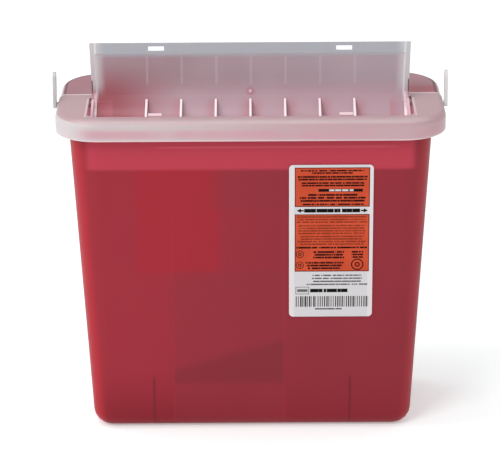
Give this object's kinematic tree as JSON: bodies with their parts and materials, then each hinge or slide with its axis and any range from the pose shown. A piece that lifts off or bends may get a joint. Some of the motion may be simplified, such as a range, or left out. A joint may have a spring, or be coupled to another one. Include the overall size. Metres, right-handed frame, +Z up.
{
  "type": "sharps container",
  "caption": "Tapered translucent bin under a press-fit lid whose upright flap and scoop swing down to drop and shut.",
  "frame": {"origin": "middle of the footprint, on the floor", "axes": "+X along the width, the labelled front faces -Y, +Z up"},
  "size_m": [0.2784, 0.1206, 0.2782],
  "materials": {
    "red_polypropylene": "translucent red, satin moulded",
    "milky_polypropylene": "milky translucent, satin moulded",
    "milky_door_polypropylene": "milky translucent, satin moulded",
    "white_lever_plastic": "natural white, satin moulded",
    "label_film": "printed adhesive film"
  },
  "bodies": {
    "container": {"bin": "red_polypropylene", "lid": "milky_polypropylene", "label": "label_film"},
    "door": {"drop_door": "milky_door_polypropylene", "left_lever": "white_lever_plastic", "right_lever": "white_lever_plastic"}
  },
  "joints": [
    {"name": "door_hinge", "type": "hinge", "parent": "container", "child": "door", "pos_m": [0, -0.008, 0.2352], "axis": [1, 0, 0], "range_deg": [0, 92.2]}
  ]
}
